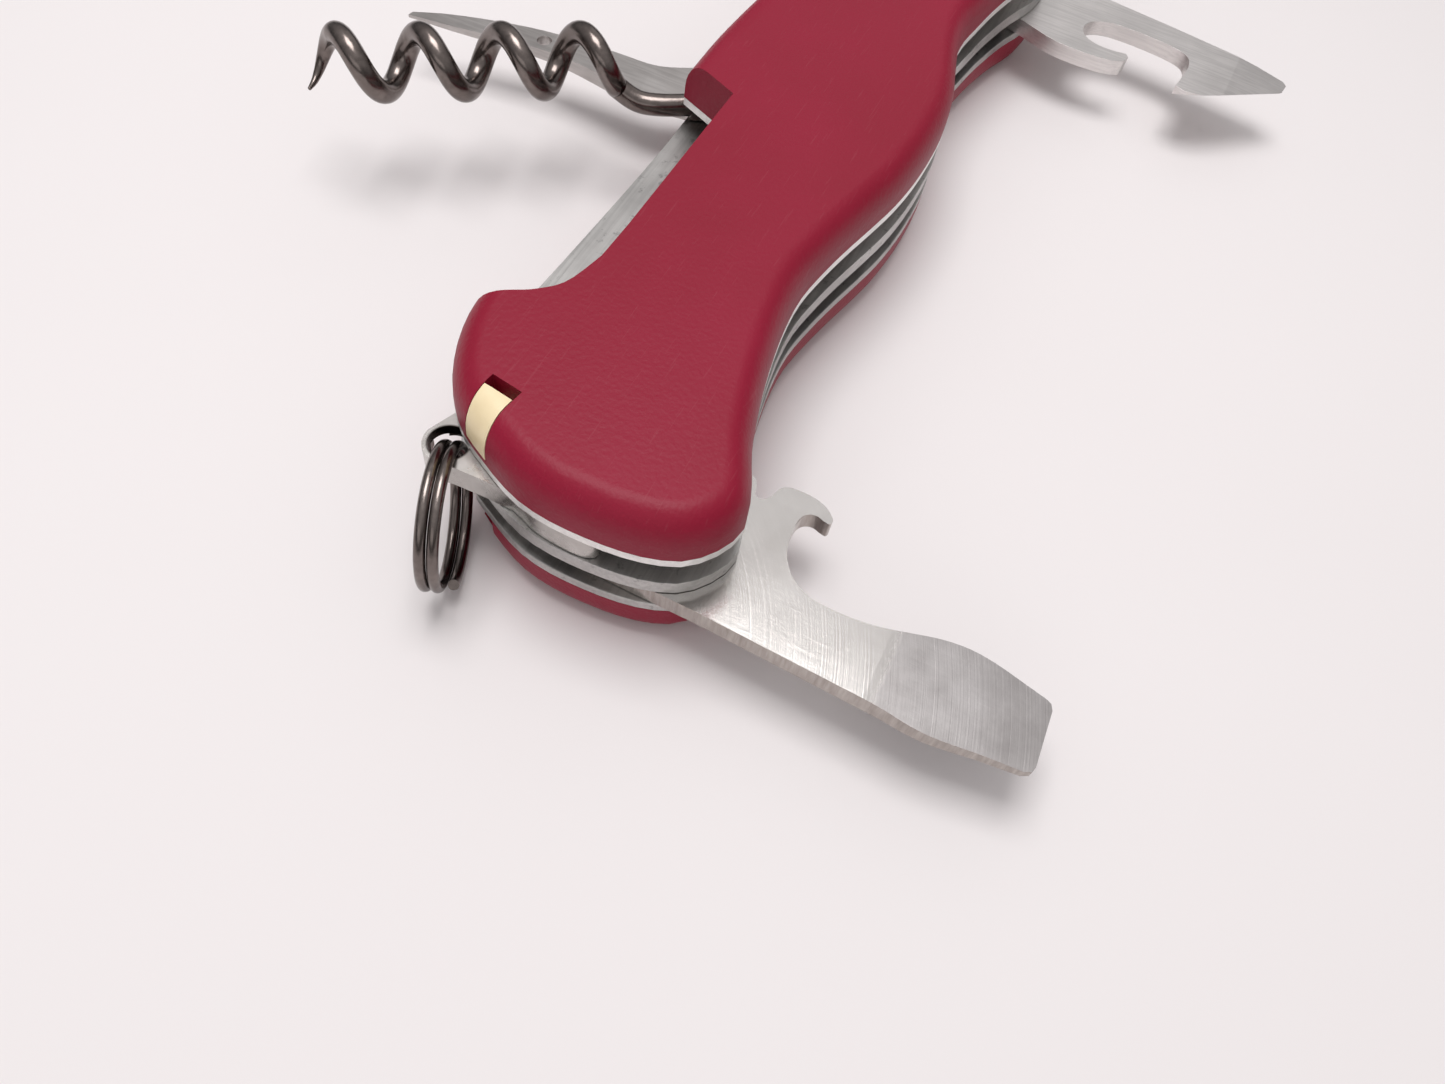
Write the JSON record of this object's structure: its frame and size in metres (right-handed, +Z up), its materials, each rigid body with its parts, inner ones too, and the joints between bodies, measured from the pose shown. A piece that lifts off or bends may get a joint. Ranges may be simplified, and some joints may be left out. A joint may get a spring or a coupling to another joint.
{
  "type": "folding pocket multi-tool",
  "caption": "Two-layer folding pocket multi-tool with wavy plastic scales, its blade, openers, awl and corkscrew all swung out, with a key ring at one end.",
  "frame": {"origin": "middle of the lower scale's flat outer face, on the surface the tool lies on", "axes": "+X along the handle from the key-ring end to the main blade, +Y to the back side where the corkscrew and awl swing out, +Z up through the layers"},
  "size_m": [0.1943, 0.0949, 0.0177],
  "materials": {
    "scale": "satin, fine grain",
    "liner": "matte, edges lightly worn",
    "pin": "plain",
    "spring_steel": "brushed",
    "tool_steel": "polished with fine grinding marks",
    "ring_steel": "polished round wire",
    "ivory_plastic": "smooth",
    "black_plastic": "ribbed"
  },
  "bodies": {
    "handle": {"scale_top": "scale", "scale_bottom": "scale", "liner_top": "liner", "liner_middle": "liner", "liner_bottom": "liner", "pin_near": "pin", "pin_mid": "pin", "pin_far": "pin", "pin_spring": "pin", "pin_lug": "pin", "spacer_near": "pin", "spacer_lug": "pin", "backspring_blade": "spring_steel", "backspring_tools": "spring_steel", "keyring_lug": "tool_steel"},
    "main_blade": {"main_blade": "tool_steel"},
    "corkscrew": {"corkscrew": "ring_steel"},
    "bottle_opener": {"bottle_opener": "tool_steel"},
    "can_opener": {"can_opener": "tool_steel"},
    "awl": {"awl": "tool_steel"},
    "split_ring": {"split_ring": "ring_steel"},
    "toothpick": {"toothpick": "ivory_plastic"},
    "lock_slider": {"lock_slider": "black_plastic"}
  },
  "joints": [
    {"name": "blade_hinge", "type": "hinge", "parent": "handle", "child": "main_blade", "pos_m": [0.047, -0.0065, 0.0105], "axis": [0, 0, 1], "range_deg": [-180, 0]},
    {"name": "corkscrew_hinge", "type": "hinge", "parent": "handle", "child": "corkscrew", "pos_m": [0.0012, 0.0094, 0.0105], "axis": [0, 0, 1], "range_deg": [-34, 54.3]},
    {"name": "bottle_opener_hinge", "type": "hinge", "parent": "handle", "child": "bottle_opener", "pos_m": [-0.049, -0.006, 0.00665], "axis": [0, 0, 1], "range_deg": [-90, 90]},
    {"name": "can_opener_hinge", "type": "hinge", "parent": "handle", "child": "can_opener", "pos_m": [0.047, -0.0065, 0.00665], "axis": [0, 0, 1], "range_deg": [-80.5, 99]},
    {"name": "awl_hinge", "type": "hinge", "parent": "handle", "child": "awl", "pos_m": [0.0012, 0.0094, 0.00665], "axis": [0, 0, 1], "range_deg": [0, 87]},
    {"name": "ring_swing", "type": "hinge", "parent": "handle", "child": "split_ring", "pos_m": [-0.0537, 0.0096, 0.0105], "axis": [-0.3778, 0.9259, 0], "range_deg": [0, 35]},
    {"name": "toothpick_slide", "type": "slide", "parent": "handle", "child": "toothpick", "axis": [-0.9877, 0.1564, 0], "range_m": [0, 0.055]},
    {"name": "lock_slide", "type": "slide", "parent": "handle", "child": "lock_slider", "axis": [1, 0, 0], "range_m": [0, 0.0038]}
  ]
}
